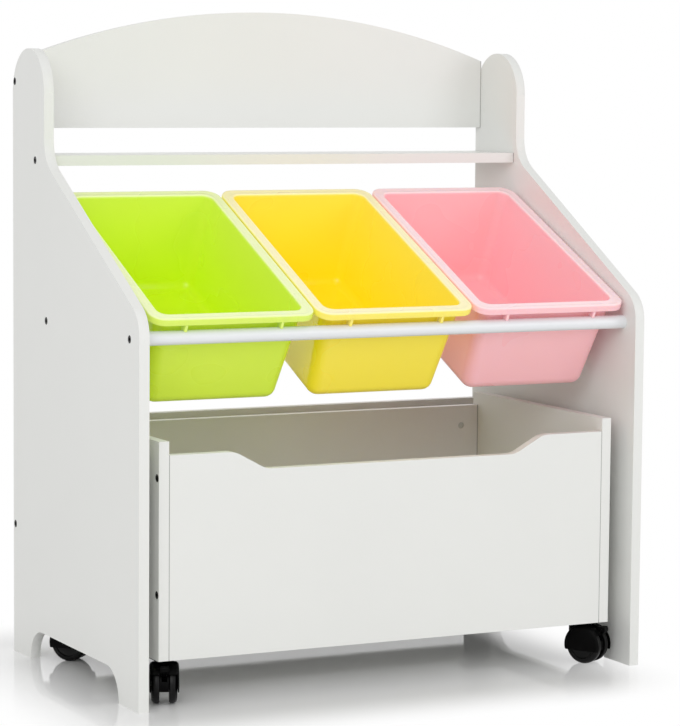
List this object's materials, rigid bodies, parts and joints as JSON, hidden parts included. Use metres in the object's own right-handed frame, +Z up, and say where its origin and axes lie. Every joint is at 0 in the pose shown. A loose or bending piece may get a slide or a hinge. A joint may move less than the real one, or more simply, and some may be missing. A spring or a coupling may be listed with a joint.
{
  "type": "toy storage organizer",
  "caption": "White board toy organizer with tilted lift-off bins in lime, yellow and pink on rods, a top shelf with an arched headboard, and a rolling toy box on swivel casters.",
  "frame": {"origin": "middle of the unit's footprint, on the floor", "axes": "+X right, -Y front, where the box rolls out, +Z up"},
  "size_m": [0.64, 0.388, 0.7679],
  "materials": {
    "white_board": "satin",
    "white_tube": "gloss",
    "plug_plastic": "satin",
    "dark_bolt": "satin",
    "plated_steel": "satin",
    "beech_dowel": "satin",
    "green_plastic": "satin",
    "yellow_plastic": "satin",
    "pink_plastic": "satin",
    "black_nylon": "satin",
    "wheel_nylon": "satin",
    "black_steel": "satin"
  },
  "bodies": {
    "unit": {"left_side_panel": "white_board", "right_side_panel": "white_board", "headboard": "white_board", "top_shelf": "white_board", "lower_back_board": "white_board", "front_rod": "white_tube", "rear_rod": "white_tube", "rod_end_plugs": "plug_plastic", "unit_bolts": "dark_bolt", "unit_barrel_nuts": "plated_steel", "unit_dowels": "beech_dowel"},
    "green_bin": {"green_bin": "green_plastic"},
    "yellow_bin": {"yellow_bin": "yellow_plastic"},
    "pink_bin": {"pink_bin": "pink_plastic"},
    "rolling_box": {"box_left_side": "white_board", "box_right_side": "white_board", "box_front": "white_board", "box_back": "white_board", "box_bottom": "white_board", "box_bolts": "dark_bolt", "box_barrel_nuts": "plated_steel", "box_dowels": "beech_dowel", "caster_screws": "black_steel", "caster_front_left_plate": "black_steel", "caster_front_left_kingpin": "black_steel", "caster_front_right_plate": "black_steel", "caster_front_right_kingpin": "black_steel", "caster_rear_left_plate": "black_steel", "caster_rear_left_kingpin": "black_steel", "caster_rear_right_plate": "black_steel", "caster_rear_right_kingpin": "black_steel"},
    "caster_front_left_swivel": {"caster_front_left_hood": "black_nylon", "caster_front_left_axle": "plated_steel", "caster_front_left_lever_pin": "plated_steel"},
    "caster_front_left_wheel_a": {"caster_front_left_wheel_a": "wheel_nylon"},
    "caster_front_left_wheel_b": {"caster_front_left_wheel_b": "wheel_nylon"},
    "caster_front_left_brake": {"caster_front_left_brake_lever": "black_nylon"},
    "caster_front_right_swivel": {"caster_front_right_hood": "black_nylon", "caster_front_right_axle": "plated_steel", "caster_front_right_lever_pin": "plated_steel"},
    "caster_front_right_wheel_a": {"caster_front_right_wheel_a": "wheel_nylon"},
    "caster_front_right_wheel_b": {"caster_front_right_wheel_b": "wheel_nylon"},
    "caster_front_right_brake": {"caster_front_right_brake_lever": "black_nylon"},
    "caster_rear_left_swivel": {"caster_rear_left_hood": "black_nylon", "caster_rear_left_axle": "plated_steel"},
    "caster_rear_left_wheel_a": {"caster_rear_left_wheel_a": "wheel_nylon"},
    "caster_rear_left_wheel_b": {"caster_rear_left_wheel_b": "wheel_nylon"},
    "caster_rear_right_swivel": {"caster_rear_right_hood": "black_nylon", "caster_rear_right_axle": "plated_steel"},
    "caster_rear_right_wheel_a": {"caster_rear_right_wheel_a": "wheel_nylon"},
    "caster_rear_right_wheel_b": {"caster_rear_right_wheel_b": "wheel_nylon"}
  },
  "joints": [
    {"name": "box_roll_out", "type": "slide", "parent": "unit", "child": "rolling_box", "axis": [0, -1, 0], "range_m": [0, 0.4]},
    {"name": "green_bin_lift_off", "type": "slide", "parent": "unit", "child": "green_bin", "axis": [0, -0.4131, 0.9107], "range_m": [0, 0.14]},
    {"name": "yellow_bin_lift_off", "type": "slide", "parent": "unit", "child": "yellow_bin", "axis": [0, -0.4131, 0.9107], "range_m": [0, 0.14]},
    {"name": "pink_bin_lift_off", "type": "slide", "parent": "unit", "child": "pink_bin", "axis": [0, -0.4131, 0.9107], "range_m": [0, 0.14]},
    {"name": "caster_front_left_turn", "type": "hinge", "parent": "rolling_box", "child": "caster_front_left_swivel", "pos_m": [-0.268, -0.142, 0.04], "axis": [0, 0, 1], "continuous": true},
    {"name": "caster_front_left_wheel_a_spin", "type": "hinge", "parent": "caster_front_left_swivel", "child": "caster_front_left_wheel_a", "pos_m": [-0.27287, -0.15405, 0.022], "axis": [0.9272, -0.3746, 0], "continuous": true},
    {"name": "caster_front_left_wheel_b_spin", "type": "hinge", "parent": "caster_front_left_swivel", "child": "caster_front_left_wheel_b", "pos_m": [-0.27287, -0.15405, 0.022], "axis": [0.9272, -0.3746, 0], "continuous": true},
    {"name": "caster_front_left_brake_press", "type": "hinge", "parent": "caster_front_left_swivel", "child": "caster_front_left_brake", "pos_m": [-0.27662, -0.16332, 0.034], "axis": [0.9272, -0.3746, 0], "range_deg": [0, 10]},
    {"name": "caster_front_right_turn", "type": "hinge", "parent": "rolling_box", "child": "caster_front_right_swivel", "pos_m": [0.268, -0.142, 0.04], "axis": [0, 0, 1], "continuous": true},
    {"name": "caster_front_right_wheel_a_spin", "type": "hinge", "parent": "caster_front_right_swivel", "child": "caster_front_right_wheel_a", "pos_m": [0.2745, -0.15326, 0.022], "axis": [0.866, 0.5, 0], "continuous": true},
    {"name": "caster_front_right_wheel_b_spin", "type": "hinge", "parent": "caster_front_right_swivel", "child": "caster_front_right_wheel_b", "pos_m": [0.2745, -0.15326, 0.022], "axis": [0.866, 0.5, 0], "continuous": true},
    {"name": "caster_front_right_brake_press", "type": "hinge", "parent": "caster_front_right_swivel", "child": "caster_front_right_brake", "pos_m": [0.2795, -0.16192, 0.034], "axis": [0.866, 0.5, 0], "range_deg": [0, 10]},
    {"name": "caster_rear_left_turn", "type": "hinge", "parent": "rolling_box", "child": "caster_rear_left_swivel", "pos_m": [-0.268, 0.102, 0.04], "axis": [0, 0, 1], "continuous": true},
    {"name": "caster_rear_left_wheel_a_spin", "type": "hinge", "parent": "caster_rear_left_swivel", "child": "caster_rear_left_wheel_a", "pos_m": [-0.27719, 0.11119, 0.022], "axis": [-0.7071, -0.7071, 0], "continuous": true},
    {"name": "caster_rear_left_wheel_b_spin", "type": "hinge", "parent": "caster_rear_left_swivel", "child": "caster_rear_left_wheel_b", "pos_m": [-0.27719, 0.11119, 0.022], "axis": [-0.7071, -0.7071, 0], "continuous": true},
    {"name": "caster_rear_right_turn", "type": "hinge", "parent": "rolling_box", "child": "caster_rear_right_swivel", "pos_m": [0.268, 0.102, 0.04], "axis": [0, 0, 1], "continuous": true},
    {"name": "caster_rear_right_wheel_a_spin", "type": "hinge", "parent": "caster_rear_right_swivel", "child": "caster_rear_right_wheel_a", "pos_m": [0.2741, 0.11348, 0.022], "axis": [-0.8829, 0.4695, 0], "continuous": true},
    {"name": "caster_rear_right_wheel_b_spin", "type": "hinge", "parent": "caster_rear_right_swivel", "child": "caster_rear_right_wheel_b", "pos_m": [0.2741, 0.11348, 0.022], "axis": [-0.8829, 0.4695, 0], "continuous": true}
  ]
}
